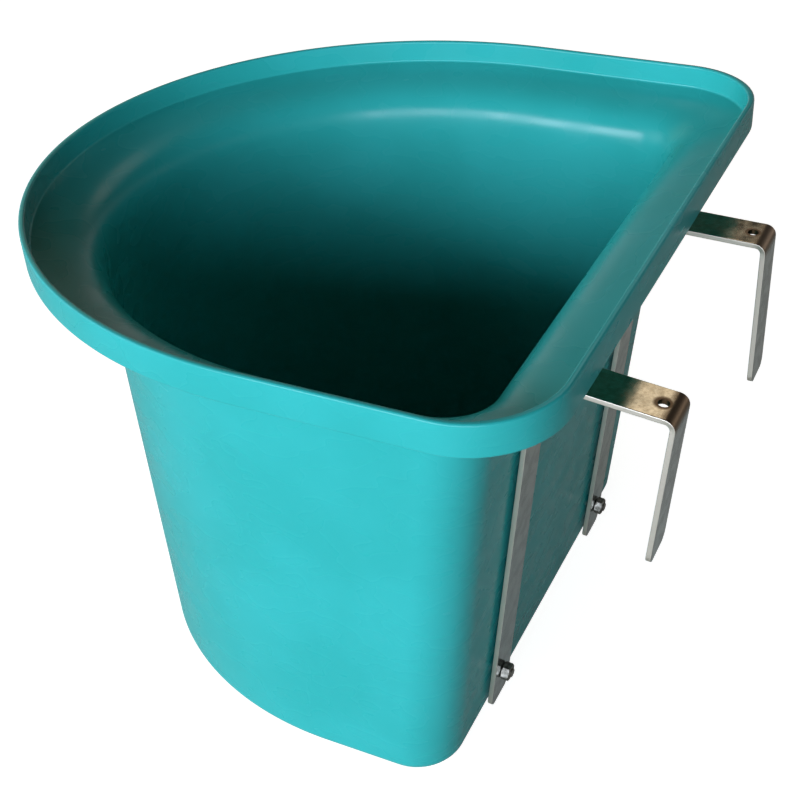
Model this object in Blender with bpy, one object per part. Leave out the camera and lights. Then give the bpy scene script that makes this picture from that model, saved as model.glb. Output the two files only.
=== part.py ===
"""Fence feeder for a horse: a D-shaped moulded tub that hangs from a rail on two bent flat bars.

The tub's flat back faces +Y, its round front faces -Y, and +Z is up. Lengths are in metres and
angles in radians. The assembly is drawn with the rim's back face on y = 0 and the tub's floor on
z = 0, and an empty then carries it so that the middle of its footprint is at the world origin.
"""
from math import asin, atan2, cos, pi, radians, sin, sqrt, tan

import bmesh
import bpy
import numpy as np

# Rim, seen from above
RIM_WIDTH = 0.400
RIM_DEPTH = 0.369
RIM_CORNER_RADIUS = 0.048
NOSE_CENTRE = 0.1475        # from the rim's back face to where the straight sides become the round front

# Rim, in section
LIP_HEIGHT = 0.018          # outer face of the upright lip
LIP_INNER_HEIGHT = 0.0138   # from the lip's top down to the shelf
LIP_WALL = 0.0034
LIP_ROUND = 0.0012
SHELF_WIDTH = 0.0100        # from the rim's outer face to where the shelf starts to roll down
SHELF_SLOPE = radians(15)
FLARE_DROP = 0.053          # the roll has become the tub's wall this far below the lip's top
FLARE_TIGHTNESS = 0.55      # how far the roll holds on to the shelf and to the wall

# Tub
TUB_HEIGHT = 0.2946
FLARE_SIDE = 0.0380         # from the rim's outer face to the wall, at each side
FLARE_FRONT = 0.0385
FLARE_BACK = 0.0413
WALL_CORNER_RADIUS = 0.028
SIDE_DRAFT = radians(1.5)   # the sides and the front lean in by this towards the floor
BACK_DRAFT = radians(6.5)
WALL = 0.0030
FLOOR = 0.0030
FLOOR_ROUND = 0.0065

# Brackets of flat bar
BAR_WIDTH = 0.0250
BAR_THICKNESS = 0.0030
BAR_CHAMFER = 0.0003
BAR_END_ROUND = 0.0060
BEND_RADIUS = 0.0035        # inside of each bend
BRACKET_INSET = 0.0788      # from the tub's side to the middle of the bar
HOOK_REACH = 0.0716         # from the bar to the leg behind the rail, middle to middle
LEG_LENGTH = 0.0938
ARM_HOLE_RADIUS = 0.0030
ARM_HOLE_INSET = 0.0090     # from the leg's middle to the hole in the arm

# The brackets are bent by hand and differ a little; the right one's upper bend is square
LEFT_FOOT = 0.0032          # lower end of the bar above the floor
LEFT_ARM_DROP = 0.0422      # top of the arm below the lip's top
LEFT_ARM_LIFT = radians(4.5)    # the upper bend is opened by this
LEFT_LEG_OPENING = radians(2.0)     # and the lower one by this
RIGHT_FOOT = 0.0052
RIGHT_ARM_DROP = 0.0440
RIGHT_LEG_OPENING = radians(1.0)

# Fasteners
BOLT_RADIUS = 0.0030
BOLT_CHAMFER = 0.0006
BOLT_HEAD_RADIUS = 0.0070
BOLT_HEAD_HEIGHT = 0.0034
BOLT_HEAD_EDGE = 0.00085    # upright edge round the foot of the dome
BOLT_CROWN_RADIUS = 0.0013  # flat on top of the dome
BOLT_END = 0.0012           # thread that shows past the nut
HOLE_CLEARANCE = 0.0004
NUT_ACROSS_FLATS = 0.0100
NUT_HEIGHT = 0.0050
NUT_FACE_RADIUS = 0.00475   # round face that bears on the bar, inside the chamfer
NUT_CHAMFER = radians(30)
INNER_WASHER_RADIUS = 0.0090
INNER_WASHER_THICKNESS = 0.0016
SPACER_RADIUS = 0.0060
SPACER_THICKNESS = 0.0015
BOLT_BELOW_ARM = 0.0240     # upper bolt below the top of the arm
BOLT_ABOVE_FOOT = 0.0222    # lower bolt above the end of the bar
SEAT_GAP = 0.0003           # left between pieces that touch

# Limits on what is rounded off and how far a cut runs on
ROUND_SHARE = 0.45          # no edge is rounded by more than this share of the material there
SMALLEST_ROUND = 0.0010
CUT_MARGIN = 0.0005         # a turned cut passes the faces that it trims by this
DRILL_OVERRUN = 0.010       # and a drill runs on by this at each end

# Fineness of the faceted shapes
NOSE_STEPS = 44
CORNER_STEPS = 7
ROLL_STEPS = 8
FILLET_STEPS = 4
LIP_STEPS = 2
BEND_STEPS = 8
ROUND_STEPS = 24

# Colours are linear RGB
POLYETHYLENE_TEAL = (0.006, 0.380, 0.420, 1.0)
ZINC_PLATE = (0.48, 0.49, 0.48, 1.0)

CLEAR_RADIUS = BOLT_RADIUS + HOLE_CLEARANCE
WALL_ALONG_BOLT = WALL * cos(BACK_DRAFT)
STANDOFF = SEAT_GAP + SPACER_THICKNESS + SEAT_GAP
BRACKET_X = RIM_WIDTH / 2 - FLARE_SIDE - BRACKET_INSET


def clear_scene():
    for item in list(bpy.data.objects):
        bpy.data.objects.remove(item, do_unlink=True)


def principled(name, colour, roughness, metallic):
    material = bpy.data.materials.new(name)
    material.use_nodes = True
    shader = material.node_tree.nodes["Principled BSDF"]
    shader.inputs["Base Color"].default_value = colour
    shader.inputs["Roughness"].default_value = roughness
    shader.inputs["Metallic"].default_value = metallic
    material.diffuse_color = colour
    return material


def add_object(name, verts, faces, material, carrier, sharp_angle=radians(35)):
    """One object from points and faces, with its faces turned outwards."""
    mesh = bpy.data.meshes.new(name)
    mesh.from_pydata([tuple(v) for v in verts], [], faces)
    work = bmesh.new()
    work.from_mesh(mesh)
    bmesh.ops.recalc_face_normals(work, faces=work.faces)
    work.to_mesh(mesh)
    work.free()
    mesh.shade_smooth()
    mesh.set_sharp_from_angle(angle=sharp_angle)
    if material:
        mesh.materials.append(material)
    item = bpy.data.objects.new(name, mesh)
    bpy.context.collection.objects.link(item)
    item.parent = carrier
    return item


def loft(rings, closed_loop=False):
    """Points and faces of a skin over rings of equal length, capped at both ends unless it is a loop."""
    count = len(rings[0])
    verts = [point for ring in rings for point in ring]
    spans = len(rings) if closed_loop else len(rings) - 1
    faces = []
    for i in range(spans):
        a, b = i * count, ((i + 1) % len(rings)) * count
        for j in range(count):
            k = (j + 1) % count
            faces.append((a + j, a + k, b + k, b + j))
    if not closed_loop:
        faces.append(tuple(range(count)))
        faces.append(tuple(range((len(rings) - 1) * count, len(rings) * count)))
    return verts, faces


def turned(profile):
    """Rings about local Z from (radius, height) pairs."""
    angles = [2 * pi * i / ROUND_STEPS for i in range(ROUND_STEPS)]
    return [[(r * cos(a), r * sin(a), z) for a in angles] for r, z in profile]


def cut(item, cutter, operation="DIFFERENCE"):
    modifier = item.modifiers.new(cutter.name, "BOOLEAN")
    modifier.operation = operation
    modifier.object = cutter
    modifier.solver = "EXACT"
    cutter.hide_render = True
    cutter.display_type = "WIRE"


# Tub

def d_outline(half_width, back, front, corner, nose):
    """Closed D seen from above: two rear corner arcs, straight sides and half an ellipse in front."""
    corner_turn = np.linspace(pi / 2, 0, CORNER_STEPS + 1)
    nose_turn = np.linspace(0, pi, NOSE_STEPS + 1)
    right_x = half_width - corner + corner * np.cos(corner_turn)
    right_y = back - corner + corner * np.sin(corner_turn)
    x = np.concatenate([right_x, half_width * np.cos(nose_turn), -right_x[::-1]])
    y = np.concatenate([right_y, nose + (front - nose) * np.sin(nose_turn), right_y[::-1]])
    return x, y


def tub_ring(inset, drop):
    """The D at one place of the rim's section.

    inset is measured from the rim's outer face at the side, drop from the lip's top. Up to the wall
    the front and back insets grow in proportion to the side's, and past it all grow alike. Below the
    lip the drafts bring every side further in.
    """
    share = min(inset / FLARE_SIDE, 1.0)
    extra = inset - share * FLARE_SIDE
    below_lip = max(drop - LIP_HEIGHT, 0.0)
    side_lean = below_lip * tan(SIDE_DRAFT)
    half_width = RIM_WIDTH / 2 - share * FLARE_SIDE - extra - side_lean
    back = -share * FLARE_BACK - extra - below_lip * tan(BACK_DRAFT)
    front = -RIM_DEPTH + share * FLARE_FRONT + extra + side_lean
    corner = RIM_CORNER_RADIUS + share * (WALL_CORNER_RADIUS - RIM_CORNER_RADIUS) - extra
    x, y = d_outline(half_width, back, front, max(corner, SMALLEST_ROUND), -NOSE_CENTRE)
    return [(px, py, TUB_HEIGHT - drop) for px, py in zip(x, y)]


def roll_curve():
    """Inner face of the rim's roll as (inset, drop) points and its outer face one wall away.

    The roll is a cubic curve that leaves the shelf at the shelf's slope and meets the wall upright.
    """
    shelf = np.array([cos(SHELF_SLOPE), sin(SHELF_SLOPE)])
    start = np.array([SHELF_WIDTH, LIP_INNER_HEIGHT + (SHELF_WIDTH - LIP_WALL) * tan(SHELF_SLOPE)])
    end = np.array([FLARE_SIDE + WALL, FLARE_DROP])
    hold = FLARE_TIGHTNESS * np.linalg.norm(end - start)
    control = [start, start + shelf * hold, end - np.array([0.0, 1.0]) * hold, end]
    inner, outer = [], []
    for t in np.linspace(0, 1, ROLL_STEPS + 1):
        s = 1 - t
        point = (s**3 * control[0] + 3 * s * s * t * control[1]
                 + 3 * s * t * t * control[2] + t**3 * control[3])
        slope = (s * s * (control[1] - control[0]) + 2 * s * t * (control[2] - control[1])
                 + t * t * (control[3] - control[2]))
        slope /= np.linalg.norm(slope)
        inner.append(tuple(point))
        outer.append(tuple(point + WALL * np.array([-slope[1], slope[0]])))
    return inner, outer


def arc(centre_inset, centre_drop, radius, start, stop, steps):
    """(inset, drop) points of an arc; an angle of 0 points inwards and pi / 2 points down."""
    return [(centre_inset + radius * cos(a), centre_drop + radius * sin(a))
            for a in np.linspace(start, stop, steps + 1)]


def tub_section():
    """Section of the tub from the middle of the floor's underside, over the lip, to the floor inside."""
    inner_roll, outer_roll = roll_curve()
    lip_round = min(LIP_ROUND, ROUND_SHARE * LIP_WALL)
    wall_inside = FLARE_SIDE + WALL
    inner_round = max(FLOOR_ROUND - WALL, SMALLEST_ROUND)
    inner_floor = TUB_HEIGHT - FLOOR
    crease_inset = LIP_WALL + lip_round
    crease_drop = LIP_INNER_HEIGHT - lip_round
    section = arc(FLARE_SIDE + FLOOR_ROUND, TUB_HEIGHT - FLOOR_ROUND, FLOOR_ROUND, pi / 2, pi, FILLET_STEPS)
    section += outer_roll[::-1]
    section += arc(lip_round, LIP_HEIGHT - lip_round, lip_round, pi / 2, pi, LIP_STEPS)
    section += arc(lip_round, lip_round, lip_round, pi, 3 * pi / 2, LIP_STEPS)
    section += arc(LIP_WALL - lip_round, lip_round, lip_round, 3 * pi / 2, 2 * pi, LIP_STEPS)
    section += arc(crease_inset, crease_drop, lip_round, pi, pi / 2, LIP_STEPS)
    section += inner_roll
    section += arc(wall_inside + inner_round, inner_floor - inner_round, inner_round,
                   pi, pi / 2, FILLET_STEPS)
    return section


def wall_face_y(height):
    """Outer face of the flat back wall."""
    return -FLARE_BACK - (TUB_HEIGHT - LIP_HEIGHT - height) * tan(BACK_DRAFT)


def build_tub(material, carrier):
    rings = [tub_ring(inset, drop) for inset, drop in tub_section()]
    verts, faces = loft(rings)
    return add_object("tub", verts, faces, material, carrier)


# Brackets

class BarLine:
    """Middle line of a bracket in the YZ plane: up the wall, out over the rail, down behind it."""

    def __init__(self, foot_height, arm_top, arm_lift, leg_opening):
        droop = BACK_DRAFT - arm_lift
        outward = (cos(BACK_DRAFT), -sin(BACK_DRAFT))
        offset = STANDOFF + BAR_THICKNESS / 2
        up = (sin(BACK_DRAFT), cos(BACK_DRAFT))
        along_arm = (cos(droop), -sin(droop))
        down_leg = (-sin(droop - leg_opening), -cos(droop - leg_opening))
        foot = (wall_face_y(foot_height) + outward[0] * offset,
                foot_height + outward[1] * offset)
        rise = (arm_top - BAR_THICKNESS / 2 - foot[1]) / up[1]
        corner = (foot[0] + up[0] * rise, foot[1] + up[1] * rise)
        radius = BEND_RADIUS + BAR_THICKNESS / 2
        turns = (pi / 2 - arm_lift, pi / 2 - leg_opening)
        trims = [radius * tan(turn / 2) for turn in turns]
        self.radius = radius
        self.start = foot
        self.pieces = [
            (rise - trims[0], 0.0, up),
            (radius * turns[0], turns[0], up),
            (HOOK_REACH - trims[0] - trims[1], 0.0, along_arm),
            (radius * turns[1], turns[1], along_arm),
            (LEG_LENGTH - BAR_THICKNESS / 2 - trims[1], 0.0, down_leg),
        ]
        self.length = sum(piece[0] for piece in self.pieces)
        self.corner = corner
        self.along_arm = along_arm
        self.droop = droop

    def at(self, travel):
        """Position and direction after a distance along the line; each bend turns clockwise."""
        y, z = self.start
        for length, turn, heading in self.pieces:
            step = min(travel, length)
            if turn:
                angle = step / self.radius
                first = atan2(heading[1], heading[0])
                last = first - angle
                y += self.radius * (sin(first) - sin(last))
                z += self.radius * (cos(last) - cos(first))
                heading = (cos(last), sin(last))
            else:
                y += heading[0] * step
                z += heading[1] * step
            travel -= step
            if travel <= 1e-9:
                break
        return (y, z), heading

    def stations(self):
        """Distances at which the bar has a section, each with its half width there."""
        half = BAR_WIDTH / 2
        end_round = min(BAR_END_ROUND, ROUND_SHARE * BAR_WIDTH)
        turns = np.linspace(0, pi / 2, FILLET_STEPS + 1)
        ends = [(end_round * (1 - cos(a)), half - end_round * (1 - sin(a))) for a in turns]
        stops = list(ends)
        gone = 0.0
        for length, turn, _ in self.pieces:
            if turn:
                stops += [(gone + length * i / BEND_STEPS, half) for i in range(BEND_STEPS + 1)]
            gone += length
        stops += [(self.length - travel, width) for travel, width in reversed(ends)]
        return stops


def bar_section(position, heading, half_width, x):
    """Chamfered rectangle across the bar."""
    half = BAR_THICKNESS / 2
    edge = min(BAR_CHAMFER, ROUND_SHARE * BAR_THICKNESS)
    normal = (heading[1], -heading[0])
    corners = [(half_width, half - edge), (half_width - edge, half), (edge - half_width, half),
               (-half_width, half - edge), (-half_width, edge - half), (edge - half_width, -half),
               (half_width - edge, -half), (half_width, edge - half)]
    return [(x + across, position[0] + normal[0] * out, position[1] + normal[1] * out)
            for across, out in corners]


def build_bracket(side, x, line, material, carrier):
    rings = []
    for travel, half_width in line.stations():
        position, heading = line.at(travel)
        rings.append(bar_section(position, heading, half_width, x))
    verts, faces = loft(rings)
    bracket = add_object(side + "_hook_bracket", verts, faces, material, carrier)
    reach = HOOK_REACH - ARM_HOLE_INSET
    hole = cylinder_cutter(side + "_arm_hole", ARM_HOLE_RADIUS, BAR_THICKNESS + 2 * CUT_MARGIN, carrier)
    hole.location = (x, line.corner[0] + line.along_arm[0] * reach,
                     line.corner[1] + line.along_arm[1] * reach)
    hole.rotation_euler = (-line.droop, 0, 0)
    cut(bracket, hole)
    return bracket


# Fasteners, drawn about local Z with the wall's outer face at zero and the outside at +Z

def cylinder_cutter(name, radius, length, carrier):
    verts, faces = loft(turned([(radius, -length / 2), (radius, length / 2)]))
    return add_object(name, verts, faces, None, carrier)


def ring_solid(name, inner, outer, low, high, material, carrier):
    verts, faces = loft(turned([(inner, low), (outer, low), (outer, high), (inner, high)]), closed_loop=True)
    return add_object(name, verts, faces, material, carrier)


def build_bolt(name, head_seat, end, material, carrier):
    """Dome-headed bolt whose head seats at head_seat and whose thread ends at end."""
    dome = BOLT_HEAD_HEIGHT - BOLT_HEAD_EDGE
    crown = asin(BOLT_CROWN_RADIUS / BOLT_HEAD_RADIUS)
    profile = [(BOLT_HEAD_RADIUS * sin(a), head_seat - BOLT_HEAD_EDGE - dome * cos(a))
               for a in np.linspace(crown, pi / 2, FILLET_STEPS + 2)]
    profile += [(BOLT_HEAD_RADIUS, head_seat), (BOLT_RADIUS, head_seat)]
    profile += [(BOLT_RADIUS, end - BOLT_CHAMFER), (BOLT_RADIUS - BOLT_CHAMFER, end)]
    verts, faces = loft(turned(profile))
    return add_object(name, verts, faces, material, carrier)


def build_nut(name, seat, material, carrier):
    """Hexagon nut with chamfered corners on both faces."""
    corner = NUT_ACROSS_FLATS / sqrt(3)
    outside = corner + CUT_MARGIN
    lean = (outside - NUT_FACE_RADIUS) * tan(NUT_CHAMFER)
    hexagon = [[(corner * cos(pi / 3 * i), corner * sin(pi / 3 * i), z) for i in range(6)]
               for z in (seat, seat + NUT_HEIGHT)]
    verts, faces = loft(hexagon)
    nut = add_object(name, verts, faces, material, carrier, sharp_angle=radians(20))
    barrel = turned([(NUT_FACE_RADIUS, seat), (outside, seat + lean),
                     (outside, seat + NUT_HEIGHT - lean), (NUT_FACE_RADIUS, seat + NUT_HEIGHT)])
    verts, faces = loft(barrel)
    cut(nut, add_object(name + "_barrel", verts, faces, None, nut), "INTERSECT")
    bore = turned([(CLEAR_RADIUS, seat - CUT_MARGIN), (CLEAR_RADIUS, seat + NUT_HEIGHT + CUT_MARGIN)])
    verts, faces = loft(bore)
    cut(nut, add_object(name + "_bore", verts, faces, None, nut))
    return nut


def build_fastening(prefix, x, height, tub, bracket, material, carrier):
    """Bolt, nut and two washers through the wall and the bar at one height."""
    place = bpy.data.objects.new(prefix + "_axis", None)
    bpy.context.collection.objects.link(place)
    place.parent = carrier
    place.location = (x, wall_face_y(height), height)
    place.rotation_euler = (-pi / 2 - BACK_DRAFT, 0, 0)

    inner_face = -WALL_ALONG_BOLT - SEAT_GAP
    head_seat = inner_face - INNER_WASHER_THICKNESS - SEAT_GAP
    nut_seat = STANDOFF + BAR_THICKNESS + SEAT_GAP
    ring_solid(prefix + "_inner_washer", CLEAR_RADIUS, INNER_WASHER_RADIUS,
               inner_face - INNER_WASHER_THICKNESS, inner_face, material, place)
    ring_solid(prefix + "_spacer_washer", CLEAR_RADIUS, SPACER_RADIUS,
               SEAT_GAP, SEAT_GAP + SPACER_THICKNESS, material, place)
    build_bolt(prefix + "_bolt", head_seat, nut_seat + NUT_HEIGHT + BOLT_END, material, place)
    build_nut(prefix + "_nut", nut_seat, material, place)
    hole = cylinder_cutter(prefix + "_hole", CLEAR_RADIUS, 2 * (nut_seat + DRILL_OVERRUN), place)
    cut(tub, hole)
    cut(bracket, hole)


def recentre(carrier, pieces):
    """Brings the middle of the footprint to the origin, with the floor on z = 0."""
    y = [vertex.co.y for piece in pieces for vertex in piece.data.vertices]
    carrier.location = (0.0, -(min(y) + max(y)) / 2, 0.0)


def main():
    clear_scene()
    plastic = principled("moulded_polyethylene", POLYETHYLENE_TEAL, 0.32, 0.0)
    zinc = principled("zinc_plated_steel", ZINC_PLATE, 0.38, 1.0)

    carrier = bpy.data.objects.new("feeder", None)
    bpy.context.collection.objects.link(carrier)
    tub = build_tub(plastic, carrier)
    brackets = []
    bends = (
        ("left", -BRACKET_X, LEFT_FOOT, LEFT_ARM_DROP, LEFT_ARM_LIFT, LEFT_LEG_OPENING),
        ("right", BRACKET_X, RIGHT_FOOT, RIGHT_ARM_DROP, 0.0, RIGHT_LEG_OPENING),
    )
    for side, x, foot, arm_drop, arm_lift, leg_opening in bends:
        arm_top = TUB_HEIGHT - arm_drop
        bracket = build_bracket(side, x, BarLine(foot, arm_top, arm_lift, leg_opening), zinc, carrier)
        brackets.append(bracket)
        build_fastening(side + "_upper", x, arm_top - BOLT_BELOW_ARM, tub, bracket, zinc, carrier)
        build_fastening(side + "_lower", x, foot + BOLT_ABOVE_FOOT, tub, bracket, zinc, carrier)
    recentre(carrier, [tub] + brackets)
    bpy.context.view_layer.update()


main()
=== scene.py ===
import math

import bmesh
import bpy
import numpy as np
from mathutils import Matrix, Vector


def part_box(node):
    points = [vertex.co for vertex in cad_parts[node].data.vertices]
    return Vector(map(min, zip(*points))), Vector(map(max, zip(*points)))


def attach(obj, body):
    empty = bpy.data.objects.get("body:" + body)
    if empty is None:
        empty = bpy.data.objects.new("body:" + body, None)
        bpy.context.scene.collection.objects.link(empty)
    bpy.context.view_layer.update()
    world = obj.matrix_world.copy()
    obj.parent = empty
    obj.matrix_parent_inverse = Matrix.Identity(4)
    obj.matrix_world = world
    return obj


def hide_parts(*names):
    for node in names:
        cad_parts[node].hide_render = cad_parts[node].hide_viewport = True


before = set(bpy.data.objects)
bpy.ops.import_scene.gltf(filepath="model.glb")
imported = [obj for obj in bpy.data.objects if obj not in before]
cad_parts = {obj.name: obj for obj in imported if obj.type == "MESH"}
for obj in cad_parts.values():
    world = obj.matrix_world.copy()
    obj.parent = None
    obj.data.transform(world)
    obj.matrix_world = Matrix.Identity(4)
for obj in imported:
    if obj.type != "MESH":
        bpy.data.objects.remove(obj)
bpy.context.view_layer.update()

# A fence feeder for a horse: a moulded tub with a flared rim, hung from a rail by two bent flat bars.
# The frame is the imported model's: metres, +Z up, +Y towards the fence. Pieces are worked out in mm.

mm = 0.001
tubLow, tubHigh = (np.array(corner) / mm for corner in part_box("tub"))
tubMiddleX = (tubLow[0] + tubHigh[0]) / 2
backLean = math.radians(6.5)    # the flat back, and so the bars and bolts on it, lean by this
sharpAngle = math.radians(35)   # faces that turn by more than this meet in a sharp edge
white = (1.0, 1.0, 1.0, 1.0)


# Tools for colours, meshes and node trees

def hexColour(code):
    # sRGB hex to the linear values that sockets hold
    raw = np.array([int(code[i:i + 2], 16) for i in (1, 3, 5)]) / 255
    linear = np.where(raw <= 0.04045, raw / 12.92, ((raw + 0.055) / 1.055) ** 2.4)
    return (*linear.tolist(), 1.0)


def smoothStep(x):
    # 0 below 0, 1 above 1, and 3x^2 - 2x^3 between
    x = np.clip(x, 0, 1)
    return x * x * (3 - 2 * x)


def smoothMin(a, b, width):
    # the lesser of two heights, with the crease between them rounded over the width
    share = np.clip(0.5 + (b - a) / (2 * width), 0, 1)
    return b + (a - b) * share - width * share * (1 - share)


def arcPoints(centre, radius, startDeg, stopDeg, steps):
    # points of a circle's arc in a plane: centre + radius * (cos, sin) from one angle to the other
    angle = np.radians(np.linspace(startDeg, stopDeg, steps + 1))
    return np.stack([centre[0] + radius * np.cos(angle), centre[1] + radius * np.sin(angle)], 1)


def gridMesh(name, points, closedRows=False):
    # skin over a rows x columns x 3 array in mm: every row is a ring, and either the last row joins the
    # first or both are capped. Each point shares a quad with its next row and next column.
    rows, columns = points.shape[:2]
    r, c = np.meshgrid(np.arange(rows if closedRows else rows - 1), np.arange(columns), indexing="ij")
    nextRow, nextColumn = (r + 1) % rows, (c + 1) % columns
    quads = np.stack([r * columns + c, r * columns + nextColumn,
                      nextRow * columns + nextColumn, nextRow * columns + c], -1)
    faces = quads.reshape(-1, 4).tolist()
    if not closedRows:
        faces.append(list(range(columns)))
        faces.append(list(range((rows - 1) * columns, rows * columns)))
    mesh = bpy.data.meshes.new(name)
    mesh.from_pydata((points.reshape(-1, 3) * mm).tolist(), [], faces)
    work = bmesh.new()
    work.from_mesh(mesh)
    bmesh.ops.recalc_face_normals(work, faces=work.faces)
    work.to_mesh(mesh)
    work.free()
    return mesh


def turnedGrid(profile, columns):
    # a (radius, height) profile turned about local Z: one row for each of its points
    turn = np.linspace(0, 2 * np.pi, columns, endpoint=False)
    profile = np.asarray(profile, float)
    radius, height = profile[:, :1], profile[:, 1:]
    return np.stack([radius * np.cos(turn), radius * np.sin(turn), height + 0 * turn], -1)


def placed(points, centre, axis):
    # turns local Z onto the axis, leaves local X level, and moves the origin to the centre
    z = np.asarray(axis, float) / np.linalg.norm(axis)
    x = np.array([1.0, 0.0, 0.0])
    return points @ np.stack([x, np.cross(z, x), z]) + np.asarray(centre, float)


def newObject(name, data):
    item = bpy.data.objects.new(name, data)
    bpy.context.scene.collection.objects.link(item)
    return item


def shadeByAngle(mesh):
    mesh.shade_smooth()
    mesh.set_sharp_from_angle(angle=sharpAngle)


def newPiece(name, mesh):
    shadeByAngle(mesh)
    return newObject(name, mesh)


def drill(piece, cutters):
    # cuts closed grids out of a piece and keeps the result as its mesh
    drills = []
    for points in cutters:
        tool = newObject("drill", gridMesh("drill", points))
        modifier = piece.modifiers.new("hole", "BOOLEAN")
        modifier.solver = "EXACT"
        modifier.object = tool
        drills.append(tool)
    bpy.context.view_layer.update()
    seen = piece.evaluated_get(bpy.context.evaluated_depsgraph_get())
    drilled = bpy.data.meshes.new_from_object(seen)
    piece.modifiers.clear()
    piece.data = drilled
    shadeByAngle(drilled)
    for tool in drills:
        bpy.data.objects.remove(tool, do_unlink=True)


def meshPoints(mesh):
    flat = np.empty(len(mesh.vertices) * 3, np.float32)
    mesh.vertices.foreach_get("co", flat)
    return flat.reshape(-1, 3).astype(float) / mm


def dress(piece, material, slotName, *nodes):
    # gives a piece its material and its body, and hides the CAD nodes that it stands for
    piece.data.materials.clear()
    piece.data.materials.append(material)
    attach(piece, "root")
    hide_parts(*nodes)
    return piece


def addNode(tree, kind, settings=None, sockets=None):
    # one node: its settings, and for each input a value or the (node, output) pair that it comes from
    node = tree.nodes.new(kind)
    for key, value in (settings or {}).items():
        setattr(node, key, value)
    for key, value in (sockets or {}).items():
        if isinstance(value, tuple) and isinstance(value[0], bpy.types.Node):
            tree.links.new(value[0].outputs[value[1]], node.inputs[key])
        else:
            node.inputs[key].default_value = value
    return node


def newTree(owner):
    owner.use_nodes = True
    owner.node_tree.nodes.clear()
    return owner.node_tree


# Moulded polyethylene, dyed teal right through. The tool leaves a satin skin with a faint orange peel,
# which frays the edge of a highlight, and handling leaves a few paler scuffs. In these lists a size and
# a height are in mm, and a range holds the two noise levels between which a change takes place.

polyethyleneLook = {
    "colour": "#30aeaa",
    "deepColour": "#2ca9a4",
    "patchSize": 70,        # slow change of tone across the moulding
    "patchRange": (0.35, 0.65),
    "scuffColour": "#4fb6b1",
    "scuffSize": 16,
    "scuffRange": (0.60, 0.78),
    "scuffShare": 0.12,     # of the scuffs' colour in the deepest of them
    "glossSize": 13,        # patches of duller and glossier skin
    "glossStretch": 2.0,    # times as long along the rim as up the wall
    "glossRange": (0.35, 0.65),
    "roughness": (0.24, 0.32),
    "rippleSize": 24,       # ripple of the wall as it shrank
    "rippleHeight": 0.025,
    "peelSize": 5.0,        # orange peel
    "peelHeight": 0.004,
    "grainSize": 1.2,       # blasted grain of the tool, drawn coarser than its 0.1 so that it shows
    "grainHeight": 0.0005,
    "specular": 0.25,
    "ior": 1.5,
}


def mouldedPolyethylene():
    look = polyethyleneLook
    material = bpy.data.materials.new("moulded_polyethylene")
    tree = newTree(material)
    place = (addNode(tree, "ShaderNodeTexCoord"), "Object")
    patches = addNode(tree, "ShaderNodeTexNoise", None,
                      {"Vector": place, "Scale": 1 / (look["patchSize"] * mm)})
    patchShare = addNode(tree, "ShaderNodeMapRange", {"interpolation_type": "SMOOTHSTEP"},
                         {"Value": (patches, 0), "From Min": look["patchRange"][0],
                          "From Max": look["patchRange"][1]})
    toned = addNode(tree, "ShaderNodeMix", {"data_type": "RGBA"},
                    {0: (patchShare, 0), 6: hexColour(look["colour"]),
                     7: hexColour(look["deepColour"])})
    scuffs = addNode(tree, "ShaderNodeTexNoise", None,
                     {"Vector": place, "Scale": 1 / (look["scuffSize"] * mm),
                      "Detail": 5, "Roughness": 0.6})
    scuffShare = addNode(tree, "ShaderNodeMapRange", {"interpolation_type": "SMOOTHSTEP"},
                         {"Value": (scuffs, 0), "From Min": look["scuffRange"][0],
                          "From Max": look["scuffRange"][1], "To Max": look["scuffShare"]})
    worn = addNode(tree, "ShaderNodeMix", {"data_type": "RGBA"},
                   {0: (scuffShare, 0), 6: (toned, 2), 7: hexColour(look["scuffColour"])})
    stretch = 1 / look["glossStretch"]
    drawn = addNode(tree, "ShaderNodeMapping", None,
                    {"Vector": place, "Scale": (stretch, stretch, 1)})
    skin = addNode(tree, "ShaderNodeTexNoise", None,
                   {"Vector": (drawn, 0), "Scale": 1 / (look["glossSize"] * mm), "Detail": 1})
    gloss = addNode(tree, "ShaderNodeMapRange", {"interpolation_type": "SMOOTHSTEP"},
                    {"Value": (skin, 0), "From Min": look["glossRange"][0],
                     "From Max": look["glossRange"][1], "To Min": look["roughness"][0],
                     "To Max": look["roughness"][1]})
    ripple = addNode(tree, "ShaderNodeTexNoise", None,
                     {"Vector": place, "Scale": 1 / (look["rippleSize"] * mm), "Detail": 1})
    peel = addNode(tree, "ShaderNodeTexNoise", None,
                   {"Vector": place, "Scale": 1 / (look["peelSize"] * mm), "Detail": 1})
    grain = addNode(tree, "ShaderNodeTexNoise", None,
                    {"Vector": place, "Scale": 1 / (look["grainSize"] * mm), "Detail": 1})
    rippled = addNode(tree, "ShaderNodeBump", None,
                      {"Height": (ripple, 0), "Distance": look["rippleHeight"] * mm})
    peeled = addNode(tree, "ShaderNodeBump", None,
                     {"Height": (peel, 0), "Distance": look["peelHeight"] * mm,
                      "Normal": (rippled, 0)})
    grained = addNode(tree, "ShaderNodeBump", None,
                      {"Height": (grain, 0), "Distance": look["grainHeight"] * mm,
                       "Normal": (peeled, 0)})
    shader = addNode(tree, "ShaderNodeBsdfPrincipled", None,
                     {"Base Color": (worn, 2), "Roughness": (gloss, 0), "Normal": (grained, 0),
                      "IOR": look["ior"], "Specular IOR Level": look["specular"]})
    addNode(tree, "ShaderNodeOutputMaterial", None, {"Surface": (shader, 0)})
    return material


# Zinc plate on mild steel flat bar. Cold rolling leaves fine lines along the bar, the plate clouds where
# it is handled, and each bend and the drilled hole are stained. Faces that look up are painted warmer and
# lighter, a painted reflection of warm light from above, and the narrow edges that face sideways are
# rougher and painted lighter, a painted highlight.

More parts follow.
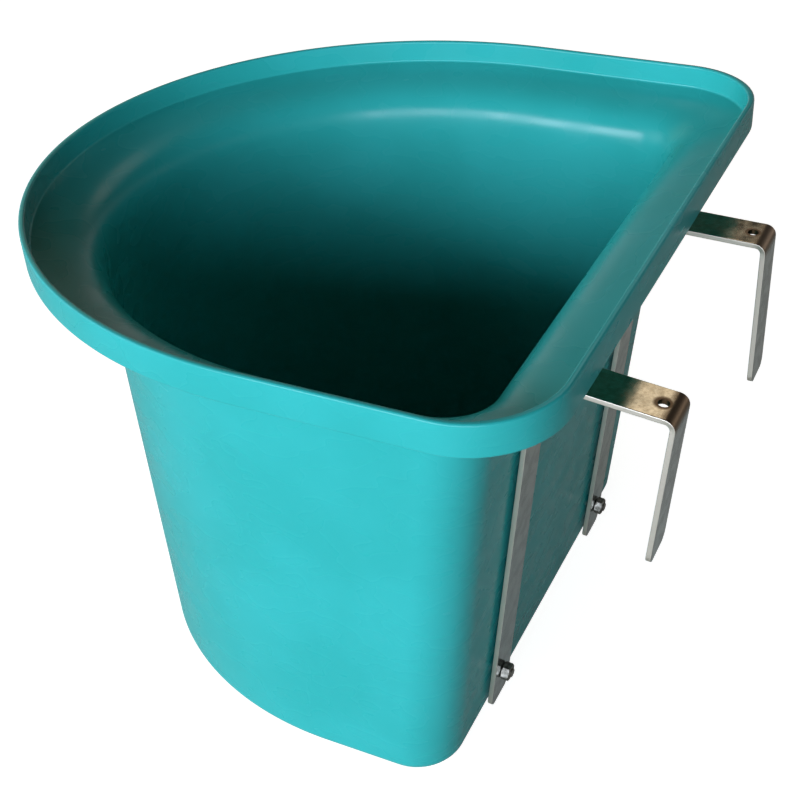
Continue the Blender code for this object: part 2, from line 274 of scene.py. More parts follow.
barLook = {
    "colour": "#c4caca",
    "cloudColour": "#aab1b0",
    "cloudSize": 9,
    "cloudRange": (0.38, 0.62),
    # painted reflection: warmer, lighter colours, mottled by specks, for faces that look up
    "paintedTopReflectionColour": "#cbbfa6",
    "paintedTopReflectionSpeckColour": "#ada086",
    "speckSize": 3.0,
    "speckRange": (0.35, 0.65),
    "paintedTopReflectionRange": (0.80, 0.97),   # how squarely a face looks up: none of the painted reflection to all of it
    # painted highlight: a lighter, warmer colour on the narrow edges that face sideways
    "paintedEdgeHighlightColour": "#e5ded0",
    "edgeRange": (0.55, 0.85),  # how squarely a face looks sideways, for the painted highlight and the rougher edge
    "edgeRoughness": 0.48,
    "stainColour": "#77614a",
    "stainRoughness": 0.34,
    "holeStain": (3.8, 6.2),    # mm from the arm hole's middle, full stain to none
    "glossRange": (0.30, 0.70),
    "roughness": (0.11, 0.22),
    "dentSize": 11,
    "dentHeight": 0.035,
    "lineSize": 0.6,            # across the bar, drawn coarser than the real 0.1 so that it shows
    "lineStretch": 30,          # times as long along the bar
    "lineHeight": 0.004,
}


def platedFlatBar():
    look = barLook
    material = bpy.data.materials.new("zinc_plated_flat_bar")
    tree = newTree(material)
    along = (addNode(tree, "ShaderNodeAttribute", {"attribute_name": "barPlace"}), "Vector")
    bent = addNode(tree, "ShaderNodeAttribute", {"attribute_name": "bendShade"})
    clouds = addNode(tree, "ShaderNodeTexNoise", None,
                     {"Vector": along, "Scale": 1 / (look["cloudSize"] * mm),
                      "Detail": 5, "Roughness": 0.6})
    cloudShare = addNode(tree, "ShaderNodeMapRange", {"interpolation_type": "SMOOTHSTEP"},
                         {"Value": (clouds, 0), "From Min": look["cloudRange"][0],
                          "From Max": look["cloudRange"][1]})
    clouded = addNode(tree, "ShaderNodeMix", {"data_type": "RGBA"},
                      {0: (cloudShare, 0), 6: hexColour(look["colour"]),
                       7: hexColour(look["cloudColour"])})

    normal = addNode(tree, "ShaderNodeTexCoord")
    facing = addNode(tree, "ShaderNodeSeparateXYZ", None, {"Vector": (normal, "Normal")})
    # painted reflection: faces that look up take a warmer, lighter colour, mottled by specks
    upward = addNode(tree, "ShaderNodeMapRange", {"interpolation_type": "SMOOTHSTEP"},
                     {"Value": (facing, "Z"), "From Min": look["paintedTopReflectionRange"][0],
                      "From Max": look["paintedTopReflectionRange"][1]})
    specks = addNode(tree, "ShaderNodeTexNoise", None,
                     {"Vector": along, "Scale": 1 / (look["speckSize"] * mm),
                      "Detail": 4, "Roughness": 0.65})
    speckShare = addNode(tree, "ShaderNodeMapRange", {"interpolation_type": "SMOOTHSTEP"},
                         {"Value": (specks, 0), "From Min": look["speckRange"][0],
                          "From Max": look["speckRange"][1]})
    paintedTopReflection = addNode(tree, "ShaderNodeMix", {"data_type": "RGBA"},
                   {0: (speckShare, 0), 6: hexColour(look["paintedTopReflectionColour"]),
                    7: hexColour(look["paintedTopReflectionSpeckColour"])})
    withTopReflection = addNode(tree, "ShaderNodeMix", {"data_type": "RGBA"},
                     {0: (upward, 0), 6: (clouded, 2), 7: (paintedTopReflection, 2)})

    across = addNode(tree, "ShaderNodeSeparateXYZ", None, {"Vector": along})
    flat = addNode(tree, "ShaderNodeCombineXYZ", None, {"X": (across, "X"), "Y": (across, "Y")})
    fromHole = addNode(tree, "ShaderNodeVectorMath", {"operation": "LENGTH"}, {0: (flat, 0)})
    nearHole, clearOfHole = (distance * mm for distance in look["holeStain"])
    ring = addNode(tree, "ShaderNodeMapRange", {"interpolation_type": "SMOOTHSTEP"},
                   {"Value": (fromHole, "Value"), "From Min": nearHole, "From Max": clearOfHole,
                    "To Min": 1, "To Max": 0})

    # painted highlight: faces that look sideways take a lighter colour, and more roughness, except round
    # the hole
    sideways = addNode(tree, "ShaderNodeMath", {"operation": "ABSOLUTE"}, {0: (facing, "X")})
    sidewaysShare = addNode(tree, "ShaderNodeMapRange", {"interpolation_type": "SMOOTHSTEP"},
                      {"Value": (sideways, 0), "From Min": look["edgeRange"][0],
                       "From Max": look["edgeRange"][1]})
    edge = addNode(tree, "ShaderNodeMath", {"operation": "SUBTRACT", "use_clamp": True},
                   {0: (sidewaysShare, 0), 1: (ring, 0)})
    withEdgeHighlight = addNode(tree, "ShaderNodeMix", {"data_type": "RGBA"},
                    {0: (edge, 0), 6: (withTopReflection, 2), 7: hexColour(look["paintedEdgeHighlightColour"])})
    offEdge = addNode(tree, "ShaderNodeMath", {"operation": "SUBTRACT", "use_clamp": True},
                      {0: (bent, "Fac"), 1: (edge, 0)})
    stain = addNode(tree, "ShaderNodeMath", {"operation": "MAXIMUM"},
                    {0: (offEdge, 0), 1: (ring, 0)})
    stained = addNode(tree, "ShaderNodeMix", {"data_type": "RGBA"},
                      {0: (stain, 0), 6: (withEdgeHighlight, 2), 7: hexColour(look["stainColour"])})

    flatGloss = addNode(tree, "ShaderNodeMapRange", {"interpolation_type": "SMOOTHSTEP"},
                        {"Value": (clouds, 0), "From Min": look["glossRange"][0],
                         "From Max": look["glossRange"][1], "To Min": look["roughness"][0],
                         "To Max": look["roughness"][1]})
    edgeGloss = addNode(tree, "ShaderNodeMix", {"data_type": "FLOAT"},
                        {0: (edge, 0), 2: (flatGloss, 0), 3: look["edgeRoughness"]})
    gloss = addNode(tree, "ShaderNodeMix", {"data_type": "FLOAT"},
                    {0: (stain, 0), 2: (edgeGloss, 0), 3: look["stainRoughness"]})
    stretched = addNode(tree, "ShaderNodeMapping", None,
                        {"Vector": along, "Scale": (1 / look["lineStretch"], 1, 1)})
    dents = addNode(tree, "ShaderNodeTexNoise", None,
                    {"Vector": along, "Scale": 1 / (look["dentSize"] * mm), "Detail": 1})
    rolled = addNode(tree, "ShaderNodeTexNoise", None,
                     {"Vector": (stretched, 0), "Scale": 1 / (look["lineSize"] * mm), "Detail": 1})
    dented = addNode(tree, "ShaderNodeBump", None,
                     {"Height": (dents, 0), "Distance": look["dentHeight"] * mm})
    lined = addNode(tree, "ShaderNodeBump", None,
                    {"Height": (rolled, 0), "Distance": look["lineHeight"] * mm,
                     "Normal": (dented, 0)})
    shader = addNode(tree, "ShaderNodeBsdfPrincipled", None,
                     {"Base Color": (stained, 2), "Metallic": 1, "Roughness": (gloss, 0),
                      "Normal": (lined, 0)})
    addNode(tree, "ShaderNodeOutputMaterial", None, {"Surface": (shader, 0)})
    return material


# Zinc plate on turned and cold-headed steel: duller than the bar and cloudy, with small dents

fastenerLook = {
    "colour": "#95938b",
    "cloudColour": "#65635c",
    "cloudSize": 2.2,
    "cloudRange": (0.38, 0.66),
    "glossRange": (0.30, 0.70),
    "roughness": (0.40, 0.56),
    "dentSize": 1.3,
    "dentHeight": 0.050,
}


def platedFastener():
    look = fastenerLook
    material = bpy.data.materials.new("zinc_plated_fastener")
    tree = newTree(material)
    place = (addNode(tree, "ShaderNodeTexCoord"), "Object")
    clouds = addNode(tree, "ShaderNodeTexNoise", None,
                     {"Vector": place, "Scale": 1 / (look["cloudSize"] * mm),
                      "Detail": 4, "Roughness": 0.6})
    cloudShare = addNode(tree, "ShaderNodeMapRange", {"interpolation_type": "SMOOTHSTEP"},
                         {"Value": (clouds, 0), "From Min": look["cloudRange"][0],
                          "From Max": look["cloudRange"][1]})
    clouded = addNode(tree, "ShaderNodeMix", {"data_type": "RGBA"},
                      {0: (cloudShare, 0), 6: hexColour(look["colour"]),
                       7: hexColour(look["cloudColour"])})
    gloss = addNode(tree, "ShaderNodeMapRange", {"interpolation_type": "SMOOTHSTEP"},
                    {"Value": (clouds, 0), "From Min": look["glossRange"][0],
                     "From Max": look["glossRange"][1], "To Min": look["roughness"][0],
                     "To Max": look["roughness"][1]})
    dents = addNode(tree, "ShaderNodeTexNoise", None,
                    {"Vector": place, "Scale": 1 / (look["dentSize"] * mm), "Detail": 1})
    dented = addNode(tree, "ShaderNodeBump", None,
                     {"Height": (dents, 0), "Distance": look["dentHeight"] * mm})
    shader = addNode(tree, "ShaderNodeBsdfPrincipled", None,
                     {"Base Color": (clouded, 2), "Metallic": 1, "Roughness": (gloss, 0),
                      "Normal": (dented, 0)})
    addNode(tree, "ShaderNodeOutputMaterial", None, {"Surface": (shader, 0)})
    return material


polyethylene = mouldedPolyethylene()
platedBar = platedFlatBar()
platedSteel = platedFastener()
print("materials ready")


# Fastenings: where each bolt crosses the outer face of the flat back, read from its spacer washer

fastening = {
    "gap": 0.3,                 # between pieces that touch, as in the CAD
    "spacerRadius": 6.0,
    "spacerThickness": 1.5,
    "innerWasherRadius": 9.0,
    "innerWasherThickness": 1.6,
    "washerRound": 0.25,
    "holeRadius": 3.4,
    "holeReach": 10,            # of its cutter, either side of the wall's outer face
    "boltRadius": 3.0,
    "headRadius": 7.0,
    "headHeight": 3.4,
    "headEdge": 0.85,           # the upright part of that height
    "headRound": 0.25,          # where the edge meets the underside
    "headRoundMiddle": (0.08, 0.07),    # that round's middle point, in from the edge and up
    "headPoleDeg": 2,           # the dome starts this far from its pole, round a tiny flat
    "threadStart": 0.3,         # out from the shank and up from the head, where the thread starts
    "pitch": 1.0,
    "threadDepth": 0.55,
    "crestShare": 0.10,         # of half a pitch, flat
    "flankShare": 0.85,         # of half a pitch, sloping
    "rowsPerMm": 10,
    "boltPastNut": 1.2,
    "boltChamfer": 0.6,
    "tipRing": 0.5,             # the end's outer ring is this wide
    "tipRise": 0.02,            # and rises by this
    "nutFlats": 10.0,
    "nutHeight": 5.0,
    "nutFaceRadius": 4.75,
    "nutFaceInset": 0.3,
    "nutChamferDeg": 30,
    "nutCornerPower": 90,       # higher is sharper
    "nutEdgeRound": 0.12,       # where a flat meets a chamfer
    "nutBore": (2.9, 0.7),      # its radius, and how far below the face the flare has narrowed to it
    "nutFlare": (3.5, 0.1),     # its radius, and the depth of its lip
    "nutFlareLip": 0.3,         # the lip's width
}

boltAxis = np.array([0.0, math.cos(backLean), -math.sin(backLean)])     # out of the flat back
boltHole = turnedGrid([(fastening["holeRadius"], sign * fastening["holeReach"])
                       for sign in (-1, 1)], 48)
boltNames = ["left_upper", "left_lower", "right_upper", "right_lower"]
boltPlaces = {}
for boltName in boltNames:
    low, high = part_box(boltName + "_spacer_washer")
    washerMiddle = (np.array(low) + np.array(high)) / 2 / mm
    outwards = fastening["gap"] + fastening["spacerThickness"] / 2
    boltPlaces[boltName] = washerMiddle - boltAxis * outwards


# Tub

tubShape = {
    "cornerRadius": 48,         # rear corners of the rim, in plan
    "noseCentre": 147.5,        # from the rim's back face to where the round front starts
    "lipHeight": 18,
    "lipInnerHeight": 13.8,
    "lipWall": 3.4,
    "lipRound": 1.2,
    "shelfWidth": 10,
    "shelfSlopeDeg": 15,
    "flareDrop": 53,            # the roll has become the wall this far below the lip's top
    "flareTightness": 0.55,
    "flareSide": 38.0,
    "flareFront": 38.5,
    "flareBack": 41.3,
    "wallCornerRadius": 28,
    "sideDraftDeg": 1.5,
    "wall": 3.0,
    "floor": 3.0,
    "floorRound": 6.5,
    "steps": {"roll": 26, "outerFoot": 10, "innerFoot": 8, "wall": 13, "lip": 5,
              "corner": 14, "nose": 180},
}


def rollCurve():
    # a cubic curve that leaves the shelf at the shelf's slope and meets the wall upright, as (inset,
    # drop) points, and the same curve moved out by the wall's thickness
    s = tubShape
    slope = math.radians(s["shelfSlopeDeg"])
    shelf = np.array([math.cos(slope), math.sin(slope)])
    start = np.array([s["shelfWidth"], s["lipInnerHeight"]
                      + (s["shelfWidth"] - s["lipWall"]) * math.tan(slope)])
    end = np.array([s["flareSide"] + s["wall"], s["flareDrop"]])
    hold = s["flareTightness"] * np.linalg.norm(end - start)
    leave, arrive = start + hold * shelf, end - np.array([0, hold])
    t = np.linspace(0, 1, s["steps"]["roll"] + 1)[:, None]
    u = 1 - t
    inner = u**3 * start + 3 * u * u * t * leave + 3 * u * t * t * arrive + t**3 * end
    along = u * u * (leave - start) + 2 * u * t * (arrive - leave) + t * t * (end - arrive)
    along = along / np.linalg.norm(along, axis=1, keepdims=True)
    outer = inner + s["wall"] * np.stack([-along[:, 1], along[:, 0]], 1)
    return inner, outer


def tubSection():
    # (inset, drop) points from the floor's underside up the outside, over the lip, down the roll and the
    # inside to the floor: arcs at the foot and the lip, the roll's two curves, straight walls between
    s, steps = tubShape, tubShape["steps"]
    height = tubHigh[2] - tubLow[2]
    innerRoll, outerRoll = rollCurve()
    r, inside, base = s["lipRound"], s["flareSide"] + s["wall"], s["floorRound"]
    innerBase = base - s["wall"]
    outerCentre = (s["flareSide"] + base, height - base)
    innerCentre = (inside + innerBase, height - s["floor"] - innerBase)
    outerFoot = arcPoints(outerCentre, base, 90, 180, steps["outerFoot"])
    innerFoot = arcPoints(innerCentre, innerBase, 180, 90, steps["innerFoot"])
    between = np.linspace(0, 1, steps["wall"] + 1)[1:-1, None]
    outerWall = outerFoot[-1] + (outerRoll[-1] - outerFoot[-1]) * between
    innerWall = innerRoll[-1] + (innerFoot[0] - innerRoll[-1]) * between
    lipCorners = [((r, s["lipHeight"] - r), 90, 180), ((r, r), 180, 270),
                  ((s["lipWall"] - r, r), 270, 360),
                  ((s["lipWall"] + r, s["lipInnerHeight"] - r), 180, 90)]
    lip = [arcPoints(centre, r, start, stop, steps["lip"]) for centre, start, stop in lipCorners]
    return np.concatenate([outerFoot, outerWall, outerRoll[::-1], *lip,
                           innerRoll, innerWall, innerFoot])


def tubGrid(section):
    # each (inset, drop) of the section becomes a D seen from above: two corner arcs, two straight sides
    # and half an ellipse. The insets at the sides, front and back grow together up to the wall, and
    # below the lip every side leans in by its draft.
    s = tubShape
    halfRim = (tubHigh[0] - tubLow[0]) / 2
    depthRim = tubHigh[1] - tubLow[1]
    inset, drop = section[:, :1], section[:, 1:]
    share = np.minimum(inset / s["flareSide"], 1)
    extra = inset - share * s["flareSide"]
    below = np.maximum(drop - s["lipHeight"], 0)
    sideLean = below * math.tan(math.radians(s["sideDraftDeg"]))
    half = halfRim - share * s["flareSide"] - extra - sideLean
    back = -share * s["flareBack"] - extra - below * math.tan(backLean)
    front = -depthRim + share * s["flareFront"] + extra + sideLean
    corner = s["cornerRadius"] + share * (s["wallCornerRadius"] - s["cornerRadius"]) - extra
    cornerTurn = np.linspace(np.pi / 2, 0, s["steps"]["corner"] + 1)[None]
    noseTurn = np.linspace(0, np.pi, s["steps"]["nose"] + 1)[None]
    cornerX = half - corner + corner * np.cos(cornerTurn)
    cornerY = back - corner + corner * np.sin(cornerTurn)
    noseY = -s["noseCentre"] + (front + s["noseCentre"]) * np.sin(noseTurn)
    x = np.concatenate([cornerX, half * np.cos(noseTurn), -cornerX[:, ::-1]], 1)
    y = np.concatenate([cornerY, noseY, cornerY[:, ::-1]], 1)
    return np.stack([x + tubMiddleX, y + tubHigh[1], tubHigh[2] - drop + 0 * x], -1)


def buildTub():
    tub = newPiece("moulded_tub", gridMesh("moulded_tub", tubGrid(tubSection())))
    drill(tub, [placed(boltHole, boltPlaces[name], boltAxis) for name in boltNames])
    return dress(tub, polyethylene, "tub_polyethylene", "tub")


tub = buildTub()
print("tub:", len(tub.data.polygons), "faces")


# Hook brackets of flat bar, bent by hand, so the two differ a little

barShape = {
    "width": 25,
    "thickness": 3.0,
    "edgeRound": 0.4,
    "endRound": 6.0,            # corners of the ends, in plan
    "bendRadius": 3.5,          # inside
    "reach": 71.6,              # bar to leg, middle to middle
    "leg": 93.8,
    "armHoleRadius": 3.0,
    "armHoleInset": 9.0,        # from the leg's middle
    "armHoleChamfer": 0.15,
    "bendSwell": 0.35,          # the inside of a bend is squeezed out sideways by this at each edge
    "bendStain": 6.0,           # a bend's stain and swell fade out over this distance along the bar
    "bendStainCore": 0.25,      # full stain for this share of it, either side of the bend's middle
    "sectionStep": 2.5,         # between the sections of a straight
    "flatPoint": 0.8,           # each flat's second point, in edge rounds from its end
    "steps": {"end": 12, "edge": 4, "bend": 16},
    "left": {"foot": 3.2, "armDrop": 42.2, "armLiftDeg": 4.5, "legOpeningDeg": 2.0},
    "right": {"foot": 5.2, "armDrop": 44.0, "armLiftDeg": 0.0, "legOpeningDeg": 1.0},
}


def barPieces(side):
    # start, first heading and the (length, turn) pieces of the bar's middle line in the YZ plane: up the
    # back, out over the rail and down behind it, with an arc in place of each corner
    s, own = barShape, barShape[side]
    half = s["thickness"] / 2
    offset = 2 * fastening["gap"] + fastening["spacerThickness"] + half
    wallDrop = tubHigh[2] - tubLow[2] - tubShape["lipHeight"] - own["foot"]
    wallY = tubHigh[1] - tubShape["flareBack"] - wallDrop * math.tan(backLean)
    start = np.array([wallY + offset * math.cos(backLean),
                      tubLow[2] + own["foot"] - offset * math.sin(backLean)])
    rise = (tubHigh[2] - own["armDrop"] - half - start[1]) / math.cos(backLean)
    radius = s["bendRadius"] + half
    turns = [math.radians(90 - own[spring]) for spring in ("armLiftDeg", "legOpeningDeg")]
    trims = [radius * math.tan(turn / 2) for turn in turns]
    pieces = [(rise - trims[0], 0), (radius * turns[0], turns[0]), (s["reach"] - sum(trims), 0),
              (radius * turns[1], turns[1]), (s["leg"] - half - trims[1], 0)]
    return start, math.pi / 2 - backLean, pieces


def barPath(side, travel):
    # place and heading after each distance along the middle line. A straight adds step * direction, and
    # an arc adds radius * (sin first - sin now, cos now - cos first).
    start, first, pieces = barPieces(side)
    y, z = start[0] + 0 * travel, start[1] + 0 * travel
    heading, gone = first + 0 * travel, 0.0
    for length, turn in pieces:
        step = np.clip(travel - gone, 0, length)
        if turn:
            now = first - step * turn / length
            radius = length / turn
            y = y + radius * (math.sin(first) - np.sin(now))
            z = z + radius * (np.cos(now) - math.cos(first))
            heading = heading - step * turn / length
            first = first - turn
        else:
            y = y + step * math.cos(first)
            z = z + step * math.sin(first)
        gone += length
    return np.stack([y, z], 1), heading


def barTravels(side):
    # distances with a section, dense at the rounded ends and round the bends, and where pieces meet
    s, steps = barShape, barShape["steps"]
    pieces = barPieces(side)[2]
    stops = np.concatenate([[0], np.cumsum([length for length, turn in pieces])])
    endTurn = np.linspace(0, np.pi / 2, steps["end"] + 1)
    edgeTurn = np.linspace(0, np.pi / 2, steps["edge"] + 1)
    ends = np.concatenate([s["endRound"] * (1 - np.cos(endTurn)),
                           s["edgeRound"] * (1 - np.cos(edgeTurn))])
    travel = [ends, stops[-1] - ends]
    for start, stop, (length, turn) in zip(stops[:-1], stops[1:], pieces):
        places = steps["bend"] + 1 if turn else int(length / s["sectionStep"])
        travel.append(np.linspace(start, stop, places))
    return np.unique(np.round(np.concatenate(travel), 3)), stops


def barSection(halfWidth, halfThickness, edge):
    # rounded rectangles, one for each half width and half thickness: (across, out) points with four arcs
    # and a close second point on each flat, which keeps the flats' shading flat
    across, out, far = [], [], barShape["flatPoint"]
    for quarter, (signX, signOut) in enumerate(((1, 1), (-1, 1), (-1, -1), (1, -1))):
        turn = np.radians(np.linspace(0, 90, barShape["steps"]["edge"] + 1) + 90 * quarter)
        arcX, arcY = edge * np.cos(turn), edge * np.sin(turn)
        x = np.concatenate([[arcX[0] + arcY[0] * far], arcX, [arcX[-1] - arcY[-1] * far]])
        y = np.concatenate([[arcY[0] - arcX[0] * far], arcY, [arcY[-1] + arcX[-1] * far]])
        across.append(signX * (halfWidth[:, None] - edge) + x)
        out.append(signOut * (halfThickness[:, None] - edge) + y)
    return np.concatenate(across, 1), np.concatenate(out, 1)


def nearestTravel(side, points, travelStep=0.25):
    # how far along the bar each point lies, and how far it stands off the middle line, by the nearest
    # of many places on the line
    total = sum(length for length, turn in barPieces(side)[2])
    travel = np.arange(0, total, travelStep)
    line, heading = barPath(side, travel)
    gap = points[:, None, 1:] - line[None]
    nearest = np.argmin((gap**2).sum(-1), 1)
    offset = gap[np.arange(len(points)), nearest]
    angle = heading[nearest]
    onwards = offset[:, 0] * np.cos(angle) + offset[:, 1] * np.sin(angle)
    outwards = offset[:, 0] * np.sin(angle) - offset[:, 1] * np.cos(angle)
    return travel[nearest] + onwards, outwards


def roundedIn(radius, fromEnd):
    # how far a round draws an edge in at a distance from the end: r - sqrt(r^2 - (r - distance)^2)
    return radius - np.sqrt(np.maximum(radius**2 - np.maximum(radius - fromEnd, 0)**2, 0))


def buildBracket(side):
    s = barShape
    low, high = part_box(side + "_hook_bracket")
    middleX = (low[0] + high[0]) / 2 / mm
    travel, stops = barTravels(side)
    line, heading = barPath(side, travel)
    fromEnd = np.minimum(travel, stops[-1] - travel)
    cornerIn, edgeIn = (roundedIn(s[name], fromEnd) for name in ("endRound", "edgeRound"))
    across, out = barSection(s["width"] / 2 - cornerIn, s["thickness"] / 2 - edgeIn, s["edgeRound"])
    # at a bend the width grows by the swell on the inside and shrinks by it on the outside
    bendMiddles = [(stops[1] + stops[2]) / 2, (stops[3] + stops[4]) / 2]
    atBend = sum(smoothStep(1 - abs(travel - middle) / s["bendStain"]) for middle in bendMiddles)
    outShare = out / s["thickness"] * 2
    across = across * (1 - atBend[:, None] * outShare * s["bendSwell"] / (s["width"] / 2))
    normal = np.stack([np.sin(heading), -np.cos(heading)], 1)
    y = line[:, :1] + normal[:, :1] * out
    z = line[:, 1:] + normal[:, 1:] * out
    name = side + "_bent_bar"
    bar = newPiece(name, gridMesh(name, np.stack([across + middleX, y, z], -1)))

    radius = s["bendRadius"] + s["thickness"] / 2
    holeTravel = stops[3] + radius * math.tan((stops[4] - stops[3]) / radius / 2) - s["armHoleInset"]
    holeLine, holeHeading = barPath(side, np.array([holeTravel]))
    holeAxis = [0, -math.sin(holeHeading[0]), math.cos(holeHeading[0])]
    # the arm hole's cutter, whose 45 degree chamfers run on past both faces by a margin
    r, c, t, margin = s["armHoleRadius"], s["armHoleChamfer"], s["thickness"] / 2, 1
    armHole = turnedGrid([(r + c + margin, -t - margin), (r, -t + c), (r, t - c),
                          (r + c + margin, t + margin)], 48)
    drill(bar, [placed(armHole, [middleX, *holeLine[0]], holeAxis)]
          + [placed(boltHole, boltPlaces[side + level], boltAxis) for level in ("_upper", "_lower")])

    # what the bar's material reads: each point's place from the arm hole, and the stain at the bends
    points = meshPoints(bar.data)
    along, outwards = nearestTravel(side, points)
    place = np.stack([along - holeTravel, points[:, 0] - middleX, outwards], 1) * mm
    fullTo = 1 + s["bendStainCore"]
    shade = sum(smoothStep(fullTo - abs(along - middle) / s["bendStain"]) for middle in bendMiddles)
    placeLayer = bar.data.attributes.new("barPlace", "FLOAT_VECTOR", "POINT")
    placeLayer.data.foreach_set("vector", place.ravel())
    shadeLayer = bar.data.attributes.new("bendShade", "FLOAT", "POINT")
    shadeLayer.data.foreach_set("value", np.clip(shade, 0, 1))
    return dress(bar, platedBar, "zinc_flat_bar", side + "_hook_bracket")


for side in ("left", "right"):
    bracket = buildBracket(side)
    print(bracket.name + ":", len(bracket.data.polygons), "faces")


# Bolts, nuts and washers, each about local Z with the wall's outer face at zero and outside at +Z

def washerGrid(inner, outer, low, high, columns=72):
    # a ring whose section is a rounded rectangle
    r = fastening["washerRound"]
    corners = [(outer - r, low + r), (outer - r, high - r), (inner + r, high - r), (inner + r, low + r)]
    profile = [arcPoints(corner, r, 90 * i - 90, 90 * i, 4) for i, corner in enumerate(corners)]
    return turnedGrid(np.concatenate(profile), columns)


def nutGrid(seat, columns=144):
    # radius(turn, height) is the lesser of a hexagon and of the cones that chamfer its two faces. The
    # hexagon is flats / 2 over the p-norm of how squarely each of its six flats is faced.
    s = fastening
    power, slope = s["nutCornerPower"], math.tan(math.radians(s["nutChamferDeg"]))
    turn = np.linspace(0, 2 * np.pi, columns, endpoint=False)
    facing = np.cos(turn[:, None] - np.radians(np.arange(30, 390, 60)))
    hexagon = s["nutFlats"] / 2 / (np.maximum(facing, 0)**power).sum(1)**(1 / power)
    rise = (1 - np.cos(np.linspace(0, np.pi, 49))) / 2 * s["nutHeight"]
    cone = s["nutFaceRadius"] + np.minimum(rise, s["nutHeight"] - rise) / slope
    radius = smoothMin(hexagon[None], cone[:, None], s["nutEdgeRound"])
    height = seat + rise[:, None] + 0 * turn
    side = np.stack([radius * np.cos(turn), radius * np.sin(turn), height], -1)
    # from each face in, as (radius, depth): the flat, the flare's lip, and the flare down to the bore
    inwards = [(s["nutFaceRadius"] - s["nutFaceInset"], 0),
               (s["nutFlare"][0] + s["nutFlareLip"], 0), s["nutFlare"], s["nutBore"]]
    upper = turnedGrid([(r, seat + s["nutHeight"] - depth) for r, depth in inwards], columns)
    lower = turnedGrid([(r, seat + depth) for r, depth in inwards[::-1]], columns)
    return np.concatenate([side, upper, lower])


def boltGrid(headSeat, end, columns=64):
    # a dome, its upright edge and its flat underside, then a thread whose radius is the bolt's less a
    # triangle wave of height / pitch - turn / full turn, chamfered off towards the end
    s = fastening
    dome = s["headHeight"] - s["headEdge"]
    swing = np.radians(np.linspace(s["headPoleDeg"], 90, 18))[:, None]
    head = np.concatenate([s["headRadius"] * np.sin(swing),
                           headSeat - s["headEdge"] - dome * np.cos(swing)], 1)
    rounded = [(0, s["headRound"]), s["headRoundMiddle"], (s["headRound"], 0)]
    under = [(s["headRadius"] - inwards, headSeat - up) for inwards, up in rounded]
    under.append((s["boltRadius"] + s["threadStart"], headSeat))
    turn = np.linspace(0, 2 * np.pi, columns, endpoint=False)
    rows = int((end - headSeat) * s["rowsPerMm"])
    height = np.linspace(headSeat + s["threadStart"], end, rows)[:, None]
    wave = np.abs((height / s["pitch"] - turn / (2 * np.pi)) % 1 * 2 - 1)
    cut = smoothStep((wave - s["crestShare"]) / s["flankShare"])
    tipRadius = s["boltRadius"] - s["boltChamfer"]
    radius = np.minimum(s["boltRadius"] - s["threadDepth"] * cut, tipRadius + (end - height))
    thread = np.stack([radius * np.cos(turn), radius * np.sin(turn), height + 0 * turn], -1)
    tip = turnedGrid([(tipRadius - s["tipRing"], end + s["tipRise"])], columns)
    return np.concatenate([turnedGrid(head, columns), turnedGrid(under, columns), thread, tip])


def buildFastening(prefix):
    s = fastening
    wallAlongBolt = tubShape["wall"] * math.cos(backLean)
    innerFace = -wallAlongBolt - s["gap"]
    headSeat = innerFace - s["innerWasherThickness"] - s["gap"]
    nutSeat = 3 * s["gap"] + s["spacerThickness"] + barShape["thickness"]
    shapes = {
        "inner_washer": (washerGrid(s["holeRadius"], s["innerWasherRadius"],
                                    innerFace - s["innerWasherThickness"], innerFace), True),
        "spacer_washer": (washerGrid(s["holeRadius"], s["spacerRadius"],
                                     s["gap"], s["gap"] + s["spacerThickness"]), True),
        "bolt": (boltGrid(headSeat, nutSeat + s["nutHeight"] + s["boltPastNut"]), False),
        "nut": (nutGrid(nutSeat), True),
    }
    for kind, (grid, closed) in shapes.items():
        name = prefix + "_plated_" + kind
        mesh = gridMesh(name, placed(grid, boltPlaces[prefix], boltAxis), closed)
        dress(newPiece(name, mesh), platedSteel, "zinc_fasteners", prefix + "_" + kind)


for boltName in boltNames:
    buildFastening(boltName)
print("fastenings:", len(boltNames))


# Studio: a pale floor, and soft lights, placed as seen from the round front. Low at the right is the
# key, which draws the streak on the roll, with a wider one behind it. A fill is in front and a faint
# yellow-green one at the front left. The tops of the bars mirror a warm card high on the left.

studio = {
    "floorSize": 8.0,           # m
    "floorDrop": 0.0004,        # m, below the tub, so that the two don't share a plane
    "floorColour": "#b8b6ac",
    "floorGlow": 0.91,          # what the camera sees over the lit floor
    "floorMirrored": 0.08,      # and what mirrors see over it
    "ambient": 0.015,
    "ambientColour": "#eaefc8",
    "background": 1.0,          # what the camera sees, and mirrors that look level
    "overhead": 0.04,           # what mirrors see higher up, where the room is dark
    "darkening": (0.02, 0.42),  # how steeply a mirror looks up, from background to overhead
    "lights": {
        "key": {"from": (0.916, -0.314, 0.250), "distance": 4.0, "size": (1.3, 1.4), "watts": 102,
                "colour": "#e4edff"},
        "side": {"from": (0.943, 0.218, 0.250), "distance": 4.0, "size": (3.0, 1.7), "watts": 134,
                 "colour": "#e4edff"},
        "fill": {"from": (0.392, -0.840, 0.375), "distance": 4.0, "size": (3.2, 2.4), "watts": 48,
                 "colour": "#eef6ff"},
        "left": {"from": (-0.500, -0.720, 0.480), "distance": 4.0, "size": (2.4, 2.0), "watts": 10,
                 "colour": "#e4efb8"},
        "card": {"from": (-0.725, -0.055, 0.688), "distance": 1.59, "size": (0.5, 0.5), "watts": 1.0,
                 "colour": "#fff4e6"},
    },
}

camera = {
    "azimuthDeg": 117.86,
    "elevationDeg": 35.44,
    "rollDeg": -3.87,
    "lens": 63.5,               # mm
    "sensor": 36,               # mm
    "distance": 0.9566,         # m, from the point it looks at
    "aimRight": 0.01718,
    "aimUp": 0.1099,
    "aimFromRim": 0.1846,       # in front of the rim's back face
}


